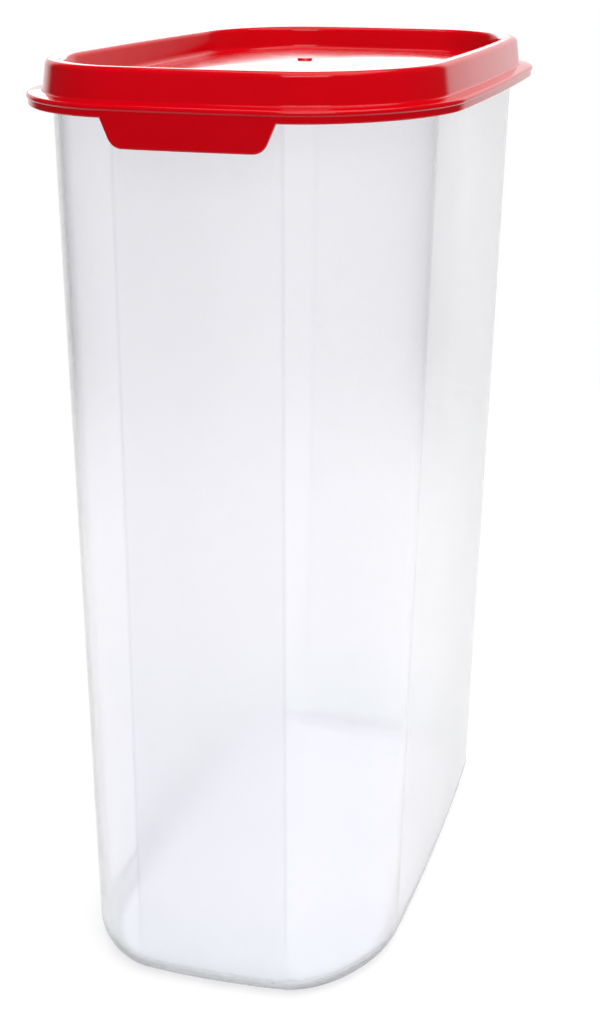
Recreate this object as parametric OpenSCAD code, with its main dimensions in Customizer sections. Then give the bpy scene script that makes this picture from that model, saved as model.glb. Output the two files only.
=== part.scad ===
// Tall kitchen container with a one-piece push-on lid.
// Z is up, the base stands on z = 0, the plan is centred on the origin,
// the long sides run along Y and the pull tab hangs over the short end at -Y.

/* [Container] */
// Width across the long sides, where the lid's lower edge is
body_width = 113.2; // [96:0.1:150]
// Length across the short ends, where the lid's lower edge is
body_length = 214.6; // [160:0.1:280]
// Height from the table to the container's rim
body_height = 278.4; // [150:0.1:340]
// Thickness of the container's wall
wall = 1.6; // [1:0.1:2.4]
// Thickness of the container's floor
floor_thickness = 2.2; // [1.4:0.1:4]
// Half axis of the upright corners' ellipse across the container, at the rim
top_corner_across = 31.8; // [24:0.1:38]
// Half axis of the upright corners' ellipse along the container, at the rim
top_corner_along = 44.8; // [24:0.1:60]
// Half axis of the upright corners' ellipse across the container, at the base
base_corner_across = 28.4; // [22:0.1:36]
// Half axis of the upright corners' ellipse along the container, at the base
base_corner_along = 38.6; // [22:0.1:54]
// How far each long side leans in from the lid to the base
side_lean = 5.3; // [0:0.1:8]
// How far each short end leans in from the lid to the base
end_lean = 6.5; // [0:0.1:10]
// How far the long sides bulge between their corners
long_side_bow = 3; // [0:0.1:5]
// How far the short ends bulge between their corners
short_end_bow = 5; // [0:0.1:7]
// Radius of the rounded edge round the base
base_edge_radius = 7; // [3:0.1:9]

/* [Container rim] */
// Radius of the two edges of the rim
rim_edge_radius = 0.4; // [0.2:0.05:0.5]
// How far the snap bead stands out from the wall
snap_bead_reach = 0.7; // [0.3:0.05:0.9]
// Height of the snap bead
snap_bead_height = 3; // [2:0.1:4]
// Distance from the rim down to the middle of the snap bead
snap_bead_drop = 6; // [4.5:0.1:9]

/* [Lid] */
// Height of the lid from its lower edge to the top of its raised rim
lid_height = 12.6; // [11:0.1:18]
// Thickness of the lid
lid_wall = 1.3; // [1:0.05:1.8]
// Outer and inner radius along the top of the raised rim
lid_rim_radius = 1.9; // [1.2:0.05:2]
// Height of the skirt from the top of the rim to the flange
skirt_height = 7.9; // [6:0.1:9]
// How far the skirt flares out on its way down
skirt_flare = 1.1; // [0.8:0.05:2]
// Depth of the recess, from the top of the rim to the edge of its panel
recess_depth = 8; // [6.5:0.1:9]
// How far the recess wall leans in on its way down
recess_lean = 1.1; // [0.5:0.05:1.6]
// Radius between the recess wall and its panel
recess_radius = 2.6; // [1.5:0.1:3.5]
// How far the middle of the panel crowns up over its edge
panel_crown = 3.4; // [0:0.1:5]
// Radius of the round moulding mark in the middle of the panel
moulding_mark_radius = 2.4; // [1.5:0.1:4]
// Height of the moulding mark
moulding_mark_height = 0.6; // [0.2:0.1:1]

/* [Lid flange] */
// How far the flange reaches out past the container's wall
flange_reach = 7.2; // [6.5:0.05:10]
// Radius between the skirt and the flange
flange_fillet = 0.85; // [0.5:0.05:1]
// How far the top of the flange falls on its way out
flange_fall = 0.5; // [0.2:0.05:0.8]
// Radius of the flange's outer bead
flange_bead_radius = 0.9; // [0.6:0.05:1]
// How far the band under the bead is set back
band_step = 0.4; // [0.2:0.05:0.6]
// Height of the band under the bead
band_height = 1.9; // [1.4:0.05:2.2]
// Radius along the band's lower edge
band_edge_radius = 0.5; // [0.3:0.05:0.6]

/* [Lid seal] */
// How far the seal wall hangs below the panel's edge
seal_drop = 1.8; // [1:0.1:4]
// Height of the sealing bead over the seal wall's tip
seal_bead_rise = 2.4; // [1.6:0.1:3]
// How far the seal wall's tip is set back from the sealing bead
seal_tip_step = 0.7; // [0.3:0.05:1]

/* [Pull tab] */
// Width of the tab where it leaves the flange
tab_top_width = 47.9; // [30:0.1:60]
// How far each side of the tab slopes in on its way down
tab_side_slope = 3.4; // [1:0.1:8]
// How far the tab hangs below the lid's lower edge
tab_drop = 7.8; // [4:0.1:14]
// Radius of the tab's lower corners
tab_corner_radius = 4.2; // [1:0.1:5]

/* [Fit] */
// Clearance between the container's wall and the lid on each side
lid_side_gap = 0.3; // [0.2:0.05:0.6]
// Clearance between the container's rim and the lid
lid_seat_gap = 0.3; // [0.1:0.05:0.6]

/* [Hidden] */

// Steps along each kind of stretch of the plan
long_side_steps = 8;
short_end_steps = 4;
corner_steps = 13;
tab_side_steps = 2;
// Steps along the arcs of the cross-sections, from the smallest arcs to the base's edge
small_arc_steps = 2;
arc_steps = 3;
inner_edge_steps = 4;
base_edge_steps = 5;

// Heights of the lid
lid_ceiling_z = body_height + lid_seat_gap;
lid_top_z = lid_ceiling_z + lid_wall;
lid_edge_z = lid_top_z - lid_height;
panel_edge_z = lid_top_z - recess_depth;
skirt_bottom_z = lid_top_z - skirt_height;
flange_top_z = skirt_bottom_z - flange_fillet;
flange_shoulder_z = flange_top_z - flange_fall;
bead_bottom_z = lid_edge_z + band_height + band_step;
seal_tip_z = panel_edge_z - lid_wall - seal_drop;

// Offsets of the lid's faces from the container's outer wall, outward positive
skirt_inner_offset = lid_side_gap;
skirt_top_offset = skirt_inner_offset + lid_wall;
skirt_bottom_offset = skirt_top_offset + skirt_flare;
channel_inner_offset = -wall - lid_side_gap;
recess_top_offset = channel_inner_offset - lid_wall;
recess_bottom_offset = recess_top_offset - recess_lean;
panel_edge_offset = recess_bottom_offset - recess_radius;
band_offset = flange_reach - band_step;
seal_tip_offset = channel_inner_offset - seal_tip_step;

// The walls are upright from the snap bead and the lid's edge up, and lean in below
snap_bead_z = body_height - snap_bead_drop;
upright_from_z = min(lid_edge_z, snap_bead_z - snap_bead_height / 2);
function lean_share(z) = max(0, (upright_from_z - z) / upright_from_z);

// Size of the plan at a share of the lean, 0 at the lid and 1 at the base
function half_width(offset, share) = body_width / 2 - side_lean * share + offset;
function half_length(offset, share) = body_length / 2 - end_lean * share + offset;
function corner_across(offset, share) =
    top_corner_across + (base_corner_across - top_corner_across) * share + offset;
function corner_along(offset, share) =
    top_corner_along + (base_corner_along - top_corner_along) * share + offset;

// Stations run once round the plan, anticlockwise from the middle of the tab's end.
// Each is [side along X, side along Y, angle round the corner's ellipse], where the sides
// run from -1 to 1 between the centres of the corners.
function straight(from, to, steps, angle) =
    [for (i = [0:steps - 1]) concat(from + (to - from) * i / steps, [angle])];
function corner(side_x, side_y, from, to) =
    [for (i = [0:corner_steps - 1])
        [side_x, side_y, from + (to - from) * i / corner_steps]];
// half_end holds the stations from the middle of the tab's end to its +X corner
function stations(half_end) =
    let (
        last = len(half_end) - 1,
        turned = half_end[last][2] - 270
    )
    concat(
        [for (i = [0:last - 1]) half_end[i]],
        corner(1, -1, 270 + turned, 360),
        straight([1, -1], [1, 1], long_side_steps, 0),
        corner(1, 1, 0, 90),
        straight([1, 1], [-1, 1], short_end_steps, 90),
        corner(-1, 1, 90, 180),
        straight([-1, 1], [-1, -1], long_side_steps, 180),
        corner(-1, -1, 180, 270 - turned),
        [for (i = [last:-1:1]) [-half_end[i][0], -1, 540 - half_end[i][2]]]
    );

// Station of the tab's end where the tab's face is at a given distance from the middle.
// The bow of the long sides draws the ends in, so the distances there shrink by one share.
tab_face_across = corner_across(band_offset, 0);
corner_centre_x = body_width / 2 - top_corner_across;
drawn_in = 1 - long_side_bow / half_width(band_offset, 0);
tab_flat_x = corner_centre_x * drawn_in;
function end_station(x) = x < tab_flat_x
    ? [x / tab_flat_x, -1, 270]
    : [1, -1, 270 + asin((x / drawn_in - corner_centre_x) / tab_face_across)];
function end_distance(s) =
    abs(s[0] * corner_centre_x + tab_face_across * cos(s[2])) * drawn_in;

// Lower edge of the tab: a trapezium with rounded corners, as its depth at a distance
// from the middle of the end
tab_half_top = tab_top_width / 2;
tab_side_angle = atan2(tab_drop, tab_side_slope);
tab_arc_x = tab_half_top - tab_side_slope - tab_corner_radius * tan(tab_side_angle / 2);
tab_side_x = tab_arc_x + tab_corner_radius * sin(tab_side_angle);
function tab_depth(x) =
    x <= tab_arc_x ? tab_drop
    : x <= tab_side_x
        ? tab_drop - tab_corner_radius + sqrt(pow(tab_corner_radius, 2) - pow(x - tab_arc_x, 2))
    : max(0, (tab_half_top - x) * tan(tab_side_angle));

tab_edge_x = concat(
    [0, tab_arc_x / 2],
    [for (i = [0:arc_steps])
        tab_arc_x + tab_corner_radius * sin(tab_side_angle * i / arc_steps)],
    [for (i = [1:tab_side_steps])
        tab_side_x + (tab_half_top - tab_side_x) * i / tab_side_steps],
    tab_half_top < tab_flat_x ? [tab_flat_x] : []
);
lid_stations = stations([for (x = tab_edge_x) end_station(x)]);
body_stations = stations([[0, -1, 270], [0.5, -1, 270], [1, -1, 270]]);

// One ring of the plan. The bow pulls the corners in behind the middles of the sides.
function ring(stations, offset, z, share) =
    let (
        w = half_width(offset, share),
        l = half_length(offset, share),
        across = corner_across(offset, share),
        along = corner_along(offset, share)
    )
    [for (s = stations)
        let (
            x = s[0] * (w - across) + across * cos(s[2]),
            y = s[1] * (l - along) + along * sin(s[2])
        )
        [x - long_side_bow * x / w * pow(y / l, 2), y - short_end_bow * y / l * pow(x / w, 2), z]];

// Quarter arc of [offset, z] points about a centre, between two angles
function arc(centre, radius, from, to, steps = arc_steps) =
    [for (i = [0:steps])
        let (a = from + (to - from) * i / steps)
        centre + radius * [cos(a), sin(a)]];

// Closed skin over a list of rings, with a fan at each end. The rings run from the middle
// of the upper side, outwards and down, to the middle of the underside.
module loft(rings, first_centre, last_centre) {
    n = len(rings[0]);
    m = len(rings);
    points = concat([for (r = rings) each r], [first_centre, last_centre]);
    sides = [for (i = [0:m - 2], j = [0:n - 1])
        let (a = i * n + j, b = i * n + (j + 1) % n)
        each [[a, b, a + n], [b, b + n, a + n]]];
    first_fan = [for (j = [0:n - 1]) [m * n, (j + 1) % n, j]];
    last_fan = [for (j = [0:n - 1]) [m * n + 1, (m - 1) * n + j, (m - 1) * n + (j + 1) % n]];
    polyhedron(points = points, faces = concat(first_fan, sides, last_fan));
}

// ---------- container ----------

least_inner_edge_radius = 1;
inner_edge_radius = max(least_inner_edge_radius, base_edge_radius - wall);
snap_bead_crest = snap_bead_height / 3;

// Cross-section of the container's wall, from the inner floor over the rim to under the base
body_section = concat(
    arc([-wall - inner_edge_radius, floor_thickness + inner_edge_radius],
        inner_edge_radius, 270, 360, inner_edge_steps),
    [
        [-wall, upright_from_z / 2],
        [-wall, upright_from_z]
    ],
    arc([-wall + rim_edge_radius, body_height - rim_edge_radius], rim_edge_radius, 180, 90,
        small_arc_steps),
    arc([-rim_edge_radius, body_height - rim_edge_radius], rim_edge_radius, 90, 0,
        small_arc_steps),
    [
        [0, snap_bead_z + snap_bead_height / 2],
        [snap_bead_reach, snap_bead_z + snap_bead_crest / 2],
        [snap_bead_reach, snap_bead_z - snap_bead_crest / 2],
        [0, snap_bead_z - snap_bead_height / 2],
        [0, upright_from_z],
        [0, upright_from_z / 2]
    ],
    arc([-base_edge_radius, base_edge_radius], base_edge_radius, 360, 270,
        base_edge_steps)
);

module container_body() {
    color([0.86, 0.89, 0.94])
    loft(
        [for (p = body_section) ring(body_stations, p[0], p[1], lean_share(p[1]))],
        [0, 0, floor_thickness],
        [0, 0, 0]
    );
}

// ---------- lid ----------

// Ring of the crowned panel, from a circle in the middle (0) to the panel's edge (1)
function panel_ring(share, lower) =
    [for (p = ring(lid_stations, panel_edge_offset, 0, 0))
        let (
            direction = atan2(p[1], p[0]),
            x = moulding_mark_radius * cos(direction) * (1 - share) + p[0] * share,
            y = moulding_mark_radius * sin(direction) * (1 - share) + p[1] * share
        )
        [x, y, panel_edge_z + panel_crown * (1 - pow(share, 2)) - lower]];
function mark_ring(radius, rise) =
    [for (p = panel_ring(0, 0)) [p[0] * radius, p[1] * radius, p[2] + rise]];

mark_top_share = 0.8;
mark_rings = [
    mark_ring(mark_top_share, moulding_mark_height),
    mark_ring(1, moulding_mark_height / 2)
];
panel_shares = [0, 0.3, 0.6, 0.85];

// Cross-section of the lid in three runs of [offset, z] points: from the panel's upper edge
// over the rim to the flange, round the band's lower edge, and back underneath to the panel
lid_upper_section = concat(
    arc([panel_edge_offset, panel_edge_z + recess_radius], recess_radius, 270, 360),
    arc([recess_top_offset + lid_rim_radius, lid_top_z - lid_rim_radius], lid_rim_radius, 180, 90),
    arc([skirt_top_offset - lid_rim_radius, lid_top_z - lid_rim_radius], lid_rim_radius, 90, 0),
    arc([skirt_bottom_offset + flange_fillet, skirt_bottom_z], flange_fillet, 180, 270),
    arc([flange_reach - flange_bead_radius, flange_shoulder_z - flange_bead_radius],
        flange_bead_radius, 90, 0),
    [[flange_reach, bead_bottom_z], [band_offset, bead_bottom_z - band_step]]
);
band_chamfer = band_edge_radius / 2;
band_edge_section = concat(
    arc([band_offset - band_edge_radius, lid_edge_z + band_edge_radius], band_edge_radius, 0, -90,
        small_arc_steps),
    [
        [band_offset - lid_wall + band_chamfer, lid_edge_z],
        [band_offset - lid_wall, lid_edge_z + band_chamfer]
    ]
);
lid_lower_section = [
    [band_offset - lid_wall, flange_shoulder_z - lid_wall],
    [skirt_bottom_offset, flange_top_z - lid_wall],
    [skirt_bottom_offset - lid_wall, skirt_bottom_z],
    [skirt_inner_offset, lid_ceiling_z - lid_rim_radius],
    [skirt_inner_offset, lid_ceiling_z],
    [channel_inner_offset, lid_ceiling_z],
    [channel_inner_offset, lid_ceiling_z - lid_rim_radius],
    [channel_inner_offset - seal_tip_step, seal_tip_z + seal_bead_rise + seal_tip_step],
    [channel_inner_offset, seal_tip_z + seal_bead_rise],
    [seal_tip_offset, seal_tip_z],
    [seal_tip_offset - lid_wall, seal_tip_z],
    [panel_edge_offset, panel_edge_z - lid_wall]
];

// The tab is the band under the bead, pulled down over the middle of one short end
function pulled_down(points) =
    [for (j = [0:len(points) - 1])
        let (s = lid_stations[j])
        points[j] - [0, 0, s[1] == -1 ? tab_depth(end_distance(s)) : 0]];

lid_rings = concat(
    mark_rings,
    [for (t = panel_shares) panel_ring(t, 0)],
    [for (p = lid_upper_section) ring(lid_stations, p[0], p[1], 0)],
    [for (p = band_edge_section) pulled_down(ring(lid_stations, p[0], p[1], 0))],
    [for (p = lid_lower_section) ring(lid_stations, p[0], p[1], 0)],
    [for (i = [len(panel_shares) - 1:-1:0]) panel_ring(panel_shares[i], lid_wall)]
);

module lid() {
    color([0.76, 0.02, 0.09])
    loft(
        lid_rings,
        [0, 0, panel_edge_z + panel_crown + moulding_mark_height],
        [0, 0, panel_edge_z + panel_crown - lid_wall]
    );
}

container_body();
lid();
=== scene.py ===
"""Looks of a tall kitchen container with a one-piece push-on lid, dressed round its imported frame.

Lengths are in metres and heights run up from the table, in the frame's own axes: the long sides
of the plan run along Y and the pull tab hangs over the short end at -Y.
"""

import math
from collections import namedtuple

import bpy
from mathutils import Matrix, Vector


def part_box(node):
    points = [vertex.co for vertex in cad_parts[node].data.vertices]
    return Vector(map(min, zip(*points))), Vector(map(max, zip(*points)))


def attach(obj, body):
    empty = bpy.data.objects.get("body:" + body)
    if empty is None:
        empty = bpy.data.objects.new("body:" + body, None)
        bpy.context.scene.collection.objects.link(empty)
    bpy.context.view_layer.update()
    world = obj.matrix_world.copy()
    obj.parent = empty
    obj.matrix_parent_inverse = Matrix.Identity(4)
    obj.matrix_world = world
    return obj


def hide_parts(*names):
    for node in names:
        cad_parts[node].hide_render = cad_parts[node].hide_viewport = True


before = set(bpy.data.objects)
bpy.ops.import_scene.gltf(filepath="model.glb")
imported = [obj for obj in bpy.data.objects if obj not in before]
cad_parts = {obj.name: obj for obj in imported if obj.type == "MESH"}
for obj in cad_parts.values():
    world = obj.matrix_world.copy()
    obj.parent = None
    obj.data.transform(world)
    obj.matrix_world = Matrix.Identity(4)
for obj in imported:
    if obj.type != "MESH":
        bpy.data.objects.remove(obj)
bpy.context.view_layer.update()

MM = 0.001

# ---------- sizes of the container ----------

BODY_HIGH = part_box("container_body")[1]
LID_LOW, LID_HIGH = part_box("lid")

WALL = 1.6 * MM
FLOOR_THICKNESS = 2.2 * MM
TOP_CORNER_ACROSS = 31.8 * MM
TOP_CORNER_ALONG = 44.8 * MM
BASE_CORNER_ACROSS = 28.4 * MM
BASE_CORNER_ALONG = 38.6 * MM
SIDE_LEAN = 5.3 * MM
END_LEAN = 6.5 * MM
LONG_SIDE_BOW = 3.0 * MM
SHORT_END_BOW = 5.0 * MM
BASE_EDGE_RADIUS = 7.0 * MM
RIM_EDGE_RADIUS = 0.4 * MM
SNAP_BEAD_REACH = 0.7 * MM
SNAP_BEAD_HEIGHT = 3.0 * MM
SNAP_BEAD_CREST = 1.0 * MM
SNAP_BEAD_DROP = 6.0 * MM
SNAP_BEAD_SOFTENING = 0.3 * MM

# ---------- sizes of the lid ----------

LID_HEIGHT = 12.6 * MM
LID_WALL = 1.3 * MM
LID_RIM_RADIUS = 1.9 * MM
SKIRT_HEIGHT = 7.9 * MM
SKIRT_FLARE = 1.1 * MM
RECESS_DEPTH = 8.0 * MM
RECESS_LEAN = 1.1 * MM
RECESS_RADIUS = 2.6 * MM
# Radius of the arc from the recess wall to the panel, within a strip RECESS_RADIUS wide
PANEL_FILLET = 0.8 * RECESS_RADIUS
PANEL_CROWN = 3.4 * MM
MARK_RADIUS = 2.4 * MM
MARK_HEIGHT = 0.6 * MM
MARK_SOFTENING = 0.2 * MM
MARK_TOP_RADIUS = 0.9 * MARK_RADIUS
MARK_INNER_RADIUS = 0.5 * MARK_RADIUS

FLANGE_REACH = 7.2 * MM
FLANGE_FILLET = 0.85 * MM
FLANGE_FALL = 0.5 * MM
FLANGE_BEAD_RADIUS = 0.9 * MM
BAND_STEP = 0.4 * MM
BAND_HEIGHT = 1.9 * MM
BAND_EDGE_RADIUS = 0.5 * MM
BAND_STEP_SOFTENING = 0.12 * MM
INNER_SOFTENING = 0.25 * MM

SEAL_DROP = 1.8 * MM
SEAL_BEAD_RISE = 2.4 * MM
SEAL_TIP_STEP = 0.7 * MM

TAB_TOP_WIDTH = 47.9 * MM
TAB_SIDE_SLOPE = 3.4 * MM
TAB_CORNER_RADIUS = 4.2 * MM

LID_SIDE_GAP = 0.3 * MM

# ---------- heights and offsets that follow from them ----------

BODY_HEIGHT = BODY_HIGH.z
LID_TOP = LID_HIGH.z
LID_EDGE = LID_TOP - LID_HEIGHT
LID_CEILING = LID_TOP - LID_WALL
TAB_DROP = LID_EDGE - LID_LOW.z
HALF_WIDTH = LID_HIGH.x - FLANGE_REACH
HALF_LENGTH = LID_HIGH.y - FLANGE_REACH
SNAP_BEAD_Z = BODY_HEIGHT - SNAP_BEAD_DROP
PANEL_EDGE_Z = LID_TOP - RECESS_DEPTH
SKIRT_BOTTOM_Z = LID_TOP - SKIRT_HEIGHT
FLANGE_TOP_Z = SKIRT_BOTTOM_Z - FLANGE_FILLET
FLANGE_SHOULDER_Z = FLANGE_TOP_Z - FLANGE_FALL
BEAD_BOTTOM_Z = LID_EDGE + BAND_HEIGHT + BAND_STEP
SEAL_TIP_Z = PANEL_EDGE_Z - LID_WALL - SEAL_DROP

# Offsets run outward from the container's outer wall
SKIRT_TOP = LID_SIDE_GAP + LID_WALL
SKIRT_BOTTOM = SKIRT_TOP + SKIRT_FLARE
CHANNEL_INNER = -WALL - LID_SIDE_GAP
RECESS_TOP = CHANNEL_INNER - LID_WALL
RECESS_BOTTOM = RECESS_TOP - RECESS_LEAN
PANEL_EDGE = RECESS_BOTTOM - RECESS_RADIUS
BAND = FLANGE_REACH - BAND_STEP
SEAL_TIP = CHANNEL_INNER - SEAL_TIP_STEP

# ---------- how finely the meshes are cut ----------

LONG_SIDE_STEPS = 20
SHORT_END_STEPS = 12
CORNER_STEPS = 40
TAB_SIDE_STEPS = 14
PANEL_STEPS = 16
ARC_STEP_DEGREES = 12
SHARP_EDGE = math.radians(40)
# A smaller turn than this counts as straight, and isn't rounded
STRAIGHT_TURN = math.radians(1)

# ---------- the plan ----------

# One place round the plan: its side along X and Y, from -1 to 1 between the centres of the
# corners, and its angle in degrees round the corner's ellipse, from +X towards +Y
Station = namedtuple("Station", "side_x side_y angle")
RIGHT_SIDE = 0
FAR_END = 90
LEFT_SIDE = 180
TAB_END = 270
FULL_TURN = 360

# A corner of a cross-section: its offset, height and radius, and whether the tab pulls it down
Corner = namedtuple("Corner", "offset z radius pulled", defaults=(0.0, False))


def lean_share(z):
    """0 where the wall is upright, from the lid's edge up, and 1 at the base."""
    return max(0.0, (LID_EDGE - z) / LID_EDGE)


def plan_point(station, offset, z):
    """Point of the plan's outline at a station, pushed out by offset, at height z."""
    share = lean_share(z)
    half_width = HALF_WIDTH - SIDE_LEAN * share + offset
    half_length = HALF_LENGTH - END_LEAN * share + offset
    across = TOP_CORNER_ACROSS + (BASE_CORNER_ACROSS - TOP_CORNER_ACROSS) * share + offset
    along = TOP_CORNER_ALONG + (BASE_CORNER_ALONG - TOP_CORNER_ALONG) * share + offset
    angle = math.radians(station.angle)
    x = station.side_x * (half_width - across) + across * math.cos(angle)
    y = station.side_y * (half_length - along) + along * math.sin(angle)
    bow_x = LONG_SIDE_BOW * x / half_width * (y / half_length) ** 2
    bow_y = SHORT_END_BOW * y / half_length * (x / half_width) ** 2
    return Vector((x - bow_x, y - bow_y, z))


def plan_ring(stations, offset, z):
    """The plan's outline once round, pushed out by offset, at height z."""
    return [plan_point(station, offset, z) for station in stations]


def straight(start, end, steps, angle):
    """Stations along one side, from start to just before end."""
    stations = []
    for i in range(steps):
        t = i / steps
        side_x = start[0] + (end[0] - start[0]) * t
        side_y = start[1] + (end[1] - start[1]) * t
        stations.append(Station(side_x, side_y, angle))
    return stations


def corner(side_x, side_y, start, end):
    """Stations round one corner, from angle start to just before end."""
    return [
        Station(side_x, side_y, start + (end - start) * i / CORNER_STEPS)
        for i in range(CORNER_STEPS)
    ]


def plan_stations(half_end):
    """Stations once round the plan. half_end runs from the middle of the tab's end to +X."""
    last = half_end[-1]
    turned = last.angle - TAB_END
    mirrored = [Station(-s.side_x, -1, 2 * TAB_END - s.angle) for s in reversed(half_end[1:])]
    return (
        half_end[:-1]
        + corner(1, -1, TAB_END + turned, FULL_TURN)
        + straight((1, -1), (1, 1), LONG_SIDE_STEPS, RIGHT_SIDE)
        + corner(1, 1, RIGHT_SIDE, FAR_END)
        + straight((1, 1), (-1, 1), SHORT_END_STEPS, FAR_END)
        + corner(-1, 1, FAR_END, LEFT_SIDE)
        + straight((-1, 1), (-1, -1), LONG_SIDE_STEPS, LEFT_SIDE)
        + corner(-1, -1, LEFT_SIDE, TAB_END - turned)
        + mirrored
    )


# ---------- the pull tab ----------

TAB_FACE_ACROSS = TOP_CORNER_ACROSS + BAND
CORNER_CENTRE_X = HALF_WIDTH - TOP_CORNER_ACROSS
# The bow of the long sides draws the ends in, so distances along them shrink by this share
DRAWN_IN = 1 - LONG_SIDE_BOW / (HALF_WIDTH + BAND)
TAB_FLAT_X = CORNER_CENTRE_X * DRAWN_IN
TAB_SIDE_ANGLE = math.atan2(TAB_DROP, TAB_SIDE_SLOPE)
TAB_HALF_TOP = TAB_TOP_WIDTH / 2
TAB_ARC_X = TAB_HALF_TOP - TAB_SIDE_SLOPE - TAB_CORNER_RADIUS * math.tan(TAB_SIDE_ANGLE / 2)
TAB_SIDE_X = TAB_ARC_X + TAB_CORNER_RADIUS * math.sin(TAB_SIDE_ANGLE)


def end_station(x):
    """Station of the tab's end whose outer face is x from the middle."""
    if x < TAB_FLAT_X:
        return Station(x / TAB_FLAT_X, -1, TAB_END)
    turned = math.asin((x / DRAWN_IN - CORNER_CENTRE_X) / TAB_FACE_ACROSS)
    return Station(1, -1, TAB_END + math.degrees(turned))


def end_distance(station):
    """How far from the middle of the tab's end a station's outer face is."""
    angle = math.radians(station.angle)
    return abs(station.side_x * CORNER_CENTRE_X + TAB_FACE_ACROSS * math.cos(angle)) * DRAWN_IN


def tab_depth(x):
    """How far the tab's lower edge hangs below the lid's, at a distance from the middle."""
    if x <= TAB_ARC_X:
        return TAB_DROP
    if x <= TAB_SIDE_X:
        rise = TAB_CORNER_RADIUS - math.sqrt(TAB_CORNER_RADIUS**2 - (x - TAB_ARC_X) ** 2)
        return TAB_DROP - rise
    return max(0.0, (TAB_HALF_TOP - x) * math.tan(TAB_SIDE_ANGLE))


def spaced(start, end, steps):
    """Distances from just after start up to end."""
    return [start + (end - start) * (i + 1) / steps for i in range(steps)]


def lid_stations():
    """Stations round the lid, closer together where the tab's edge curves and slopes."""
    distances = [0.0]
    distances += spaced(0.0, TAB_ARC_X, SHORT_END_STEPS)
    distances += spaced(TAB_ARC_X, TAB_SIDE_X, TAB_SIDE_STEPS)
    distances += spaced(TAB_SIDE_X, TAB_HALF_TOP, TAB_SIDE_STEPS)
    return plan_stations([end_station(x) for x in distances])


def body_stations():
    """Stations round the container."""
    half_end = [Station(i / SHORT_END_STEPS, -1, TAB_END) for i in range(SHORT_END_STEPS + 1)]
    return plan_stations(half_end)


# ---------- cross-sections ----------


def rounded(corners):
    """The corners of a cross-section with each one rounded to its own radius."""
    points = [corners[0]]
    for before, here, after in zip(corners, corners[1:], corners[2:]):
        place = Vector((here.offset, here.z))
        back = (Vector((before.offset, before.z)) - place).normalized()
        ahead = (Vector((after.offset, after.z)) - place).normalized()
        half_angle = back.angle(ahead) / 2
        turn = math.pi - 2 * half_angle
        if here.radius == 0 or turn < STRAIGHT_TURN:
            points.append(here)
            continue
        centre = place + (back + ahead).normalized() * here.radius / math.sin(half_angle)
        reach = here.radius / math.tan(half_angle)
        start = place + back * reach - centre
        end = place + ahead * reach - centre
        steps = max(2, math.ceil(math.degrees(turn) / ARC_STEP_DEGREES))
        for i in range(steps + 1):
            share = i / steps
            arm = start * math.sin((1 - share) * turn) + end * math.sin(share * turn)
            spot = centre + arm / math.sin(turn)
            points.append(Corner(spot.x, spot.y, 0.0, here.pulled))
    points.append(corners[-1])
    return points


def body_section():
    """From the container's inner floor over its rim and down to the underside of its base."""
    inner_edge_radius = BASE_EDGE_RADIUS - WALL
    half_bead = SNAP_BEAD_HEIGHT / 2
    half_crest = SNAP_BEAD_CREST / 2
    return rounded([
        Corner(-2 * BASE_EDGE_RADIUS, FLOOR_THICKNESS),
        Corner(-WALL, FLOOR_THICKNESS, inner_edge_radius),
        Corner(-WALL, LID_EDGE / 2),
        Corner(-WALL, LID_EDGE),
        Corner(-WALL, BODY_HEIGHT, RIM_EDGE_RADIUS),
        Corner(0, BODY_HEIGHT, RIM_EDGE_RADIUS),
        Corner(0, SNAP_BEAD_Z + half_bead, SNAP_BEAD_SOFTENING),
        Corner(SNAP_BEAD_REACH, SNAP_BEAD_Z + half_crest, SNAP_BEAD_SOFTENING),
        Corner(SNAP_BEAD_REACH, SNAP_BEAD_Z - half_crest, SNAP_BEAD_SOFTENING),
        Corner(0, SNAP_BEAD_Z - half_bead, SNAP_BEAD_SOFTENING),
        Corner(0, LID_EDGE),
        Corner(0, LID_EDGE / 2),
        Corner(0, 0, BASE_EDGE_RADIUS),
        Corner(-2 * BASE_EDGE_RADIUS, 0),
    ])


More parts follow.
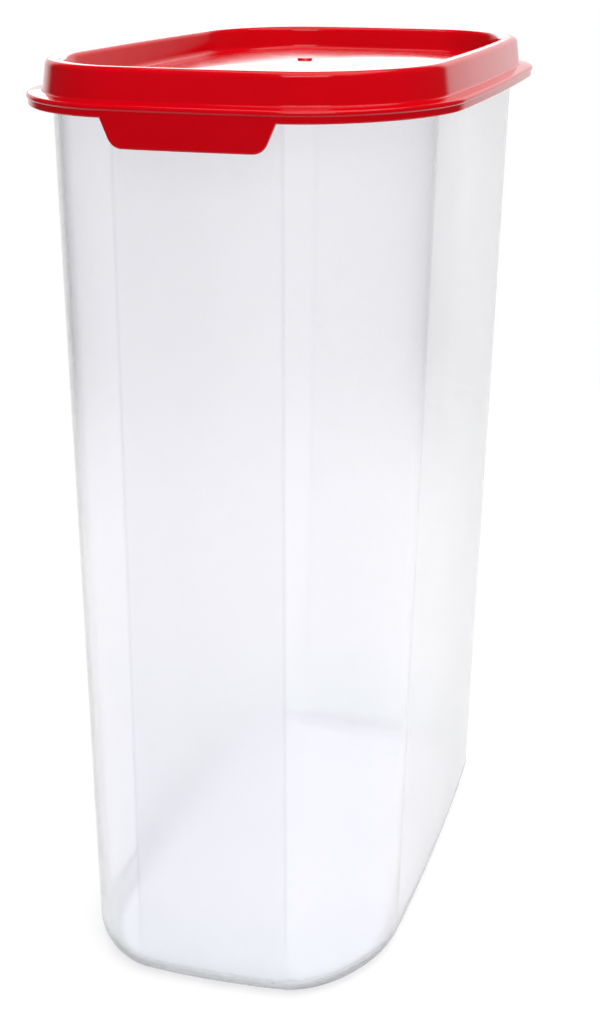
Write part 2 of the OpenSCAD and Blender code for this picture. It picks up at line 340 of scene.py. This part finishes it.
def lid_section():
    """From the panel's upper edge over the rim, down to the band's lower edge and back inside."""
    return rounded([
        Corner(PANEL_EDGE, PANEL_EDGE_Z),
        Corner(RECESS_BOTTOM, PANEL_EDGE_Z, PANEL_FILLET),
        Corner(RECESS_TOP, LID_TOP, LID_RIM_RADIUS),
        Corner(SKIRT_TOP, LID_TOP, LID_RIM_RADIUS),
        Corner(SKIRT_BOTTOM, FLANGE_TOP_Z, FLANGE_FILLET),
        Corner(FLANGE_REACH, FLANGE_SHOULDER_Z, FLANGE_BEAD_RADIUS),
        Corner(FLANGE_REACH, BEAD_BOTTOM_Z, BAND_STEP_SOFTENING),
        Corner(BAND, BEAD_BOTTOM_Z - BAND_STEP, BAND_STEP_SOFTENING),
        Corner(BAND, LID_EDGE, BAND_EDGE_RADIUS, True),
        Corner(BAND - LID_WALL, LID_EDGE, INNER_SOFTENING, True),
        Corner(BAND - LID_WALL, FLANGE_SHOULDER_Z - LID_WALL, INNER_SOFTENING),
        Corner(SKIRT_BOTTOM, FLANGE_TOP_Z - LID_WALL, INNER_SOFTENING),
        Corner(SKIRT_BOTTOM - LID_WALL, SKIRT_BOTTOM_Z, INNER_SOFTENING),
        Corner(LID_SIDE_GAP, LID_CEILING - LID_RIM_RADIUS, INNER_SOFTENING),
        Corner(LID_SIDE_GAP, LID_CEILING, INNER_SOFTENING),
        Corner(CHANNEL_INNER, LID_CEILING, INNER_SOFTENING),
        Corner(CHANNEL_INNER, LID_CEILING - LID_RIM_RADIUS, INNER_SOFTENING),
        Corner(SEAL_TIP, SEAL_TIP_Z + SEAL_BEAD_RISE + SEAL_TIP_STEP, INNER_SOFTENING),
        Corner(CHANNEL_INNER, SEAL_TIP_Z + SEAL_BEAD_RISE, INNER_SOFTENING),
        Corner(SEAL_TIP, SEAL_TIP_Z, INNER_SOFTENING),
        Corner(SEAL_TIP - LID_WALL, SEAL_TIP_Z, INNER_SOFTENING),
        Corner(PANEL_EDGE, PANEL_EDGE_Z - LID_WALL),
    ])


# ---------- meshes ----------


def loft(name, rings, first_centre, last_centre):
    """Closed mesh over rings of equal length, from the middle of its top to that below."""
    count = len(rings[0])
    points = [point for ring in rings for point in ring] + [first_centre, last_centre]
    first = len(rings) * count
    last = first + 1
    faces = []
    for j in range(count):
        k = (j + 1) % count
        faces.append((first, j, k))
        for i in range(len(rings) - 1):
            faces.append((i * count + j, (i + 1) * count + j, (i + 1) * count + k, i * count + k))
        end = (len(rings) - 1) * count
        faces.append((last, end + k, end + j))
    mesh = bpy.data.meshes.new(name)
    mesh.from_pydata(points, [], faces)
    mesh.shade_smooth()
    mesh.set_sharp_from_angle(angle=SHARP_EDGE)
    piece = bpy.data.objects.new(name, mesh)
    bpy.context.scene.collection.objects.link(piece)
    return piece


def make_body():
    """The container's shell, open at its top and closed at its base."""
    stations = body_stations()
    rings = [plan_ring(stations, point.offset, point.z) for point in body_section()]
    return loft("body_shell", rings, Vector((0, 0, FLOOR_THICKNESS)), Vector((0, 0, 0)))


def panel_ring(edge, share, rise):
    """Ring of the crowned panel, from a circle in the middle (0) to the panel's edge (1)."""
    ring = []
    for point in edge:
        direction = math.atan2(point.y, point.x)
        x = MARK_RADIUS * math.cos(direction) * (1 - share) + point.x * share
        y = MARK_RADIUS * math.sin(direction) * (1 - share) + point.y * share
        ring.append(Vector((x, y, PANEL_EDGE_Z + PANEL_CROWN * (1 - share**2) + rise)))
    return ring


def mark_rings(edge):
    """The moulding mark, a low round stud with soft edges in the middle of the panel."""
    circle = panel_ring(edge, 0, 0)
    profile = rounded([
        Corner(MARK_INNER_RADIUS, MARK_HEIGHT),
        Corner(MARK_TOP_RADIUS, MARK_HEIGHT, MARK_SOFTENING),
        Corner(MARK_RADIUS, 0),
    ])[:-1]
    return [
        [
            Vector((
                point.x * level.offset / MARK_RADIUS,
                point.y * level.offset / MARK_RADIUS,
                point.z + level.z,
            ))
            for point in circle
        ]
        for level in profile
    ]


def make_lid():
    """The lid in one shell, from its mark over the rim and the tab to the panel's underside."""
    stations = lid_stations()
    depths = [tab_depth(end_distance(s)) if s.side_y == -1 else 0.0 for s in stations]
    edge = plan_ring(stations, PANEL_EDGE, PANEL_EDGE_Z)
    shares = [i / PANEL_STEPS for i in range(PANEL_STEPS)]
    rings = mark_rings(edge)
    rings += [panel_ring(edge, share, 0) for share in shares]
    for point in lid_section():
        ring = plan_ring(stations, point.offset, point.z)
        if point.pulled:
            ring = [spot - Vector((0, 0, depth)) for spot, depth in zip(ring, depths)]
        rings.append(ring)
    rings += [panel_ring(edge, share, -LID_WALL) for share in reversed(shares)]
    crown_z = PANEL_EDGE_Z + PANEL_CROWN
    return loft(
        "lid_shell",
        rings,
        Vector((0, 0, crown_z + MARK_HEIGHT)),
        Vector((0, 0, crown_z - LID_WALL)),
    )


# ---------- materials ----------

PLASTIC_IOR = 1.49

RED_DEEP = (0.56, 0.0, 0.004, 1)
RED_LIGHT = (0.61, 0.0, 0.006, 1)
RED_TONE_SIZE = 25 * MM
RED_SPECULAR = 0.3
RED_ROUGHNESS_LOW = 0.08
RED_ROUGHNESS_HIGH = 0.15
RED_GLOSS_SIZE = 4 * MM
RED_GLOSS_DETAIL = 4.0
SINK_SIZE = 14 * MM
SINK_HEIGHT = 0.04 * MM
PEEL_SIZE = 0.8 * MM
PEEL_HEIGHT = 0.002 * MM

CLEAR_DEEP = (0.945, 0.945, 0.972, 1)
CLEAR_LIGHT = (0.965, 0.965, 0.985, 1)
CLEAR_TONE_SIZE = 60 * MM
CLEAR_TRANSMISSION = 0.95
HAZE_ROUGHNESS_LOW = 0.06
HAZE_ROUGHNESS_HIGH = 0.10
HAZE_SIZE = 20 * MM
HAZE_DETAIL = 3.0
FLOW_SIZE = 30 * MM
FLOW_HEIGHT = 0.03 * MM

FROST_EDGE = 0.8 * MM
FROST_ROUGHNESS = 0.16
# Painted shade: a thin darker line down each side of the flat ends, where they meet the corners
PAINTED_SHADE_LINE_HALF_WIDTH = 0.5 * MM
PAINTED_SHADE_LINE_TONE = (0.90, 0.90, 0.93, 1)
# The short ends are the parts this share of the half length, or more, from the middle
END_SHARE = 0.8

# Painted shade low on the short ends: their colour turns darker and bluer towards the table, fading
# out at the height given next
PAINTED_FOOT_SHADE = (0.905, 0.932, 0.94, 1)
PAINTED_FOOT_SHADE_TOP = 40.0 * MM
# How squarely a surface faces an end of the container where the painted shade starts and is full
FACES_END_FROM = 0.2
FACES_END_FULL = 0.7
# A surface whose normal is at least this upright counts as level
LEVEL_FROM = 0.97

# The share of each colour of lamplight that the walls and the rounded base edge let through
WALL_LETS_THROUGH = (0.92, 0.925, 0.95, 1)
EDGE_LETS_THROUGH = (0.22, 0.25, 0.28, 1)
EDGE_SHADE_TOP = 10.0 * MM


def new_material(name):
    """A new material, with its nodes, its links and its main shader."""
    material = bpy.data.materials.new(name)
    material.use_nodes = True
    nodes = material.node_tree.nodes
    return material, nodes, material.node_tree.links, nodes["Principled BSDF"]


def feed(links, socket, value):
    """Links another node's output to a socket, or sets the socket to a number or a colour."""
    if isinstance(value, bpy.types.NodeSocket):
        links.new(value, socket)
    else:
        socket.default_value = value


def math_of(nodes, links, operation, *values):
    """Result of a Math node. Each value is a number or another node's output."""
    node = nodes.new("ShaderNodeMath")
    node.operation = operation
    for socket, value in zip(node.inputs, values):
        feed(links, socket, value)
    return node.outputs["Value"]


def mix_of(nodes, links, kind, factor, low, high):
    """Low where the factor is 0 and high where it is 1: numbers (FLOAT) or colours (RGBA)."""
    mix = nodes.new("ShaderNodeMix")
    mix.data_type = kind
    links.new(factor, mix.inputs["Factor"])
    feed(links, mix.inputs["A"], low)
    feed(links, mix.inputs["B"], high)
    return mix.outputs["Result"]


def shader_mix_of(nodes, links, factor, low, high):
    """The shader low where the factor is 0 and the shader high where it is 1."""
    mix = nodes.new("ShaderNodeMixShader")
    links.new(factor, mix.inputs["Fac"])
    links.new(low, mix.inputs[1])
    links.new(high, mix.inputs[2])
    return mix.outputs["Shader"]


def range_of(nodes, links, source, low, high, start=0.0, end=1.0, interpolation="LINEAR"):
    """Low where the source is at start or beyond it, rising or falling to high at end."""
    spread = nodes.new("ShaderNodeMapRange")
    spread.interpolation_type = interpolation
    spread.inputs["From Min"].default_value = start
    spread.inputs["From Max"].default_value = end
    spread.inputs["To Min"].default_value = low
    spread.inputs["To Max"].default_value = high
    links.new(source, spread.inputs["Value"])
    return spread.outputs["Result"]


def smooth_share(nodes, links, source, start, end):
    """0 where the source is at start or beyond it, rising smoothly to 1 at end."""
    return range_of(nodes, links, source, 0.0, 1.0, start, end, "SMOOTHSTEP")


def noise_of(nodes, links, size, detail=2.0):
    """Noise whose blotches are about size across, in the piece's own coordinates."""
    coordinates = nodes.new("ShaderNodeTexCoord")
    noise = nodes.new("ShaderNodeTexNoise")
    noise.inputs["Scale"].default_value = 1 / size
    noise.inputs["Detail"].default_value = detail
    links.new(coordinates.outputs["Object"], noise.inputs["Vector"])
    return noise.outputs["Fac"]


def bump_of(nodes, links, source, height, below=None):
    """Bump of a given height, laid over another one if there is one."""
    bump = nodes.new("ShaderNodeBump")
    bump.inputs["Strength"].default_value = 1.0
    bump.inputs["Distance"].default_value = height
    links.new(source, bump.inputs["Height"])
    if below is not None:
        links.new(below, bump.inputs["Normal"])
    return bump.outputs["Normal"]


def axes_of(nodes, links, vector):
    """The X, Y and Z of a vector."""
    parts = nodes.new("ShaderNodeSeparateXYZ")
    links.new(vector, parts.inputs["Vector"])
    return parts.outputs


def own_place(nodes, links):
    """The X, Y and Z of a point in the piece's own coordinates."""
    place = nodes.new("ShaderNodeTexCoord")
    return axes_of(nodes, links, place.outputs["Object"])


def facing_of(nodes, links):
    """The X, Y and Z of the direction that a surface faces, in the frame's own axes."""
    surface = nodes.new("ShaderNodeNewGeometry")
    return axes_of(nodes, links, surface.outputs["True Normal"])


def red_plastic():
    """Glossy moulded plastic: a slow sink and a fine orange peel, with faint blotches of gloss."""
    material, nodes, links, shader = new_material("red_plastic")
    tone_noise = noise_of(nodes, links, RED_TONE_SIZE)
    tone = mix_of(nodes, links, "RGBA", tone_noise, RED_DEEP, RED_LIGHT)
    links.new(tone, shader.inputs["Base Color"])
    gloss_noise = noise_of(nodes, links, RED_GLOSS_SIZE, RED_GLOSS_DETAIL)
    rough = range_of(nodes, links, gloss_noise, RED_ROUGHNESS_LOW, RED_ROUGHNESS_HIGH)
    links.new(rough, shader.inputs["Roughness"])
    sink = bump_of(nodes, links, noise_of(nodes, links, SINK_SIZE), SINK_HEIGHT)
    peel = bump_of(nodes, links, noise_of(nodes, links, PEEL_SIZE), PEEL_HEIGHT, sink)
    links.new(peel, shader.inputs["Normal"])
    shader.inputs["IOR"].default_value = PLASTIC_IOR
    shader.inputs["Specular IOR Level"].default_value = RED_SPECULAR
    return material


def end_shares(nodes, links):
    """Shares on the two short ends: their frosted middles, and the thin lines of painted shade at
    both sides.
    """
    place = own_place(nodes, links)
    across = math_of(nodes, links, "ABSOLUTE", place["X"])
    along = math_of(nodes, links, "ABSOLUTE", place["Y"])
    on_ends = math_of(nodes, links, "GREATER_THAN", along, HALF_LENGTH * END_SHARE)
    middle = smooth_share(nodes, links, across, CORNER_CENTRE_X, TAB_FLAT_X - FROST_EDGE)
    painted_line = math_of(nodes, links, "COMPARE", across, TAB_FLAT_X, PAINTED_SHADE_LINE_HALF_WIDTH)
    return (
        math_of(nodes, links, "MULTIPLY", middle, on_ends),
        math_of(nodes, links, "MULTIPLY", painted_line, on_ends),
    )


def end_facing_share(nodes, links):
    """1 on surfaces that face an end of the container, fading to 0 round its corners."""
    along = math_of(nodes, links, "ABSOLUTE", facing_of(nodes, links)["Y"])
    return smooth_share(nodes, links, along, FACES_END_FROM, FACES_END_FULL)


def low_wall_share(nodes, links, top):
    """1 on the rounded edge between base and walls, fading to 0 at top. 0 on the level floor."""
    height = own_place(nodes, links)["Z"]
    upward = math_of(nodes, links, "ABSOLUTE", facing_of(nodes, links)["Z"])
    sloping = math_of(nodes, links, "LESS_THAN", upward, LEVEL_FROM)
    low = smooth_share(nodes, links, height, top, BASE_EDGE_RADIUS)
    return math_of(nodes, links, "MULTIPLY", sloping, low)


def clear_tone(nodes, links, painted_line):
    """Faint clouds, with painted shade low on the ends and thin lines of painted shade drawn over
    them.
    """
    clouds = noise_of(nodes, links, CLEAR_TONE_SIZE)
    tone = mix_of(nodes, links, "RGBA", clouds, CLEAR_DEEP, CLEAR_LIGHT)
    # Painted shade: darker towards the table on surfaces that face the short ends
    low = low_wall_share(nodes, links, PAINTED_FOOT_SHADE_TOP)
    painted_shade_share = math_of(nodes, links, "MULTIPLY", low, end_facing_share(nodes, links))
    with_painted_shade = mix_of(nodes, links, "RGBA", painted_shade_share, tone, PAINTED_FOOT_SHADE)
    # Painted shade lines where the flat ends meet the corners
    return mix_of(nodes, links, "RGBA", painted_line, with_painted_shade, PAINTED_SHADE_LINE_TONE)


def clear_roughness(nodes, links, frosted, edge):
    """Haze in soft clouds, rougher where the ends are frosted and on the rounded base edge."""
    clouds = noise_of(nodes, links, HAZE_SIZE, HAZE_DETAIL)
    haze = range_of(nodes, links, clouds, HAZE_ROUGHNESS_LOW, HAZE_ROUGHNESS_HIGH)
    matt = math_of(nodes, links, "MAXIMUM", frosted, edge)
    return math_of(nodes, links, "MULTIPLY_ADD", matt, FROST_ROUGHNESS, haze)


def lit_through(nodes, links, shader, edge):
    """The shader, but lamps light through it, and less through the rounded base edge."""
    shade = mix_of(nodes, links, "RGBA", edge, WALL_LETS_THROUGH, EDGE_LETS_THROUGH)
    see_through = nodes.new("ShaderNodeBsdfTransparent")
    links.new(shade, see_through.inputs["Color"])
    shadow_ray = nodes.new("ShaderNodeLightPath").outputs["Is Shadow Ray"]
    return shader_mix_of(
        nodes, links, shadow_ray, shader.outputs["BSDF"], see_through.outputs["BSDF"]
    )


def clear_plastic():
    """Slightly cloudy clear plastic, frosted on its flat ends, through which lamps still reach."""
    material, nodes, links, shader = new_material("clear_plastic")
    frosted, painted_line = end_shares(nodes, links)
    edge = low_wall_share(nodes, links, EDGE_SHADE_TOP)
    links.new(clear_tone(nodes, links, painted_line), shader.inputs["Base Color"])
    links.new(clear_roughness(nodes, links, frosted, edge), shader.inputs["Roughness"])
    flow = bump_of(nodes, links, noise_of(nodes, links, FLOW_SIZE), FLOW_HEIGHT)
    links.new(flow, shader.inputs["Normal"])
    shader.inputs["IOR"].default_value = PLASTIC_IOR
    shader.inputs["Transmission Weight"].default_value = CLEAR_TRANSMISSION
    surface = lit_through(nodes, links, shader, edge)
    links.new(surface, nodes["Material Output"].inputs["Surface"])
    return material


# ---------- the studio ----------

WHITE = (1, 1, 1, 1)
# Level direction towards the lit backdrop, which stands behind the container in the photo's view
BACKDROP_DIRECTION = (-0.269, 0.963, 0.0)
BACKDROP_GLOW = 1.0
# Cosines of the angle from there at which the dark room starts and the full backdrop begins
ROOM_FROM = 0.77
BACKDROP_FROM = 0.88
ROOM_GLOW = 0.04
# How much of the room's dark a ray through a clear wall doesn't see
WALL_CLEARS = 0.78
SURROUND_LIGHT = 0.60

FLOOR_RADIUS = 0.9
FLOOR_FADE_FROM = 0.35
FLOOR_STEPS = 96
FLOOR_GAP = 0.3 * MM
FLOOR_COLOUR = (0.5, 0.5, 0.5, 1)
FLOOR_GLOW = 0.53

# A rectangular lamp: where it stands, its width and height, and its power in watts
Lamp = namedtuple("Lamp", "name place width height power")

LAMPS_AIM_AT = (0, 0, 0.15)
LAMP_ABOVE = Lamp("softbox_above", (0.2, 0.1, 1.25), 1.1, 1.1, 7)
LAMP_FRONT = Lamp("softbox_front", (0.45, -0.9, 1.3), 1.2, 0.6, 10)
LAMP_BEHIND = Lamp("softbox_behind", (-0.50, 1.45, 0.62), 0.7, 0.45, 2.2)


def seen_share(nodes, links, path):
    """1 on rays that see the background: from the camera, a gloss or a clear wall."""
    direct = math_of(nodes, links, "MAXIMUM", path["Is Camera Ray"], path["Is Glossy Ray"])
    return math_of(nodes, links, "MAXIMUM", direct, path["Is Transmission Ray"])


def mirrored_glow(nodes, links):
    """How bright glosses find the surround: the lit backdrop, or the dark room round the rest."""
    direction = nodes.new("ShaderNodeTexCoord")
    towards = nodes.new("ShaderNodeVectorMath")
    towards.operation = "DOT_PRODUCT"
    towards.inputs[1].default_value = BACKDROP_DIRECTION
    links.new(direction.outputs["Generated"], towards.inputs[0])
    cosine = towards.outputs["Value"]
    return range_of(nodes, links, cosine, ROOM_GLOW, BACKDROP_GLOW, ROOM_FROM, BACKDROP_FROM)


def make_world():
    """A white surround. Glosses show it behind the object, and a dark room all round the rest."""
    world = bpy.data.worlds.new("studio")
    world.use_nodes = True
    bpy.context.scene.world = world
    nodes = world.node_tree.nodes
    links = world.node_tree.links
    path = nodes.new("ShaderNodeLightPath").outputs
    through_walls = path["Is Transmission Ray"]
    # A ray that a clear wall lets through counts as a glossy ray too
    room_share = math_of(
        nodes, links, "MULTIPLY_ADD", through_walls, -WALL_CLEARS, path["Is Glossy Ray"]
    )
    glow = mirrored_glow(nodes, links)
    seen_light = mix_of(nodes, links, "FLOAT", room_share, BACKDROP_GLOW, glow)
    seen = seen_share(nodes, links, path)
    strength = mix_of(nodes, links, "FLOAT", seen, SURROUND_LIGHT, seen_light)
    background = nodes["Background"]
    background.inputs["Color"].default_value = WHITE
    links.new(strength, background.inputs["Strength"])


def floor_white():
    """White that keeps shadows, glows for rays that see the background, and fades at its rim."""
    material, nodes, links, plastic = new_material("floor_white")
    nodes.remove(plastic)
    diffuse = nodes.new("ShaderNodeBsdfDiffuse")
    diffuse.inputs["Color"].default_value = FLOOR_COLOUR
    glow = nodes.new("ShaderNodeEmission")
    seen = seen_share(nodes, links, nodes.new("ShaderNodeLightPath").outputs)
    links.new(math_of(nodes, links, "MULTIPLY", seen, FLOOR_GLOW), glow.inputs["Strength"])
    both = nodes.new("ShaderNodeAddShader")
    links.new(diffuse.outputs["BSDF"], both.inputs[0])
    links.new(glow.outputs["Emission"], both.inputs[1])
    place = nodes.new("ShaderNodeTexCoord")
    distance = nodes.new("ShaderNodeVectorMath")
    distance.operation = "LENGTH"
    links.new(place.outputs["Object"], distance.inputs[0])
    fade = smooth_share(nodes, links, distance.outputs["Value"], FLOOR_FADE_FROM, FLOOR_RADIUS)
    nothing = nodes.new("ShaderNodeBsdfTransparent")
    faded = shader_mix_of(nodes, links, fade, both.outputs["Shader"], nothing.outputs["BSDF"])
    links.new(faded, nodes["Material Output"].inputs["Surface"])
    return material


def make_floor():
    """Round white ground that keeps the container's shadow and fades into the white surround."""
    mesh = bpy.data.meshes.new("floor")
    turns = [2 * math.pi * i / FLOOR_STEPS for i in range(FLOOR_STEPS)]
    edge = [(FLOOR_RADIUS * math.cos(a), FLOOR_RADIUS * math.sin(a), -FLOOR_GAP) for a in turns]
    mesh.from_pydata(edge, [], [tuple(range(FLOOR_STEPS))])
    mesh.materials.append(floor_white())
    floor = bpy.data.objects.new("floor", mesh)
    bpy.context.scene.collection.objects.link(floor)


def make_lamp(lamp):
    """A lamp turned towards the middle of the container."""
    light = bpy.data.lights.new(lamp.name, "AREA")
    light.shape = "RECTANGLE"
    light.size = lamp.width
    light.size_y = lamp.height
    light.energy = lamp.power
    holder = bpy.data.objects.new(lamp.name, light)
    aim = Vector(LAMPS_AIM_AT) - Vector(lamp.place)
    holder.location = lamp.place
    holder.rotation_euler = aim.to_track_quat("-Z", "Y").to_euler()
    bpy.context.scene.collection.objects.link(holder)
    return holder


def make_lamps():
    """Soft light from above and in front, and one behind that the lid's panel mirrors."""
    make_lamp(LAMP_ABOVE)
    make_lamp(LAMP_FRONT)
    behind = make_lamp(LAMP_BEHIND)
    # It shows only in glosses, and all the same the lower body comes out paler with it
    behind.visible_camera = False
    behind.visible_diffuse = False
    behind.visible_transmission = False


# ---------- the camera ----------

CAMERA_PLACE = Vector((0.14973, -0.53732, 0.31390))
CAMERA_YAW = -0.2726
CAMERA_PITCH = 0.3275
CAMERA_ROLL = 0.0073
CAMERA_NEAREST = 0.01
FOCAL_LENGTH_PX = 1716.2
FRAME_HEIGHT_PX = 1027
SENSOR_SIZE = 36.0


def make_camera():
    """Camera that looks along +Y, turned by its yaw, tipped down by its pitch, then rolled."""
    camera = bpy.data.cameras.new("camera")
    camera.sensor_fit = "AUTO"
    camera.sensor_width = SENSOR_SIZE
    camera.lens = FOCAL_LENGTH_PX / FRAME_HEIGHT_PX * SENSOR_SIZE
    camera.clip_start = CAMERA_NEAREST
    holder = bpy.data.objects.new("camera", camera)
    bpy.context.scene.collection.objects.link(holder)
    level = math.cos(CAMERA_PITCH)
    ahead = Vector((
        math.sin(CAMERA_YAW) * level,
        math.cos(CAMERA_YAW) * level,
        -math.sin(CAMERA_PITCH),
    ))
    right = Vector((math.cos(CAMERA_YAW), -math.sin(CAMERA_YAW), 0))
    up = right.cross(ahead)
    cosine = math.cos(CAMERA_ROLL)
    sine = math.sin(CAMERA_ROLL)
    rolled_right = cosine * right + sine * up
    rolled_up = -sine * right + cosine * up
    turn = Matrix((rolled_right, rolled_up, -ahead)).transposed()
    holder.matrix_world = Matrix.Translation(CAMERA_PLACE) @ turn.to_4x4()
    bpy.context.scene.camera = holder


# ---------- everything together ----------


def dress(piece, node, body, material):
    """Gives a piece its material and body, and hides the node that it stands for."""
    piece.data.materials.append(material)
    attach(piece, body)
    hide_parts(node)


make_camera()
dress(make_body(), "container_body", "container", clear_plastic())
dress(make_lid(), "lid", "lid", red_plastic())
make_floor()
make_world()
make_lamps()
bpy.context.scene.view_settings.view_transform = "Standard"
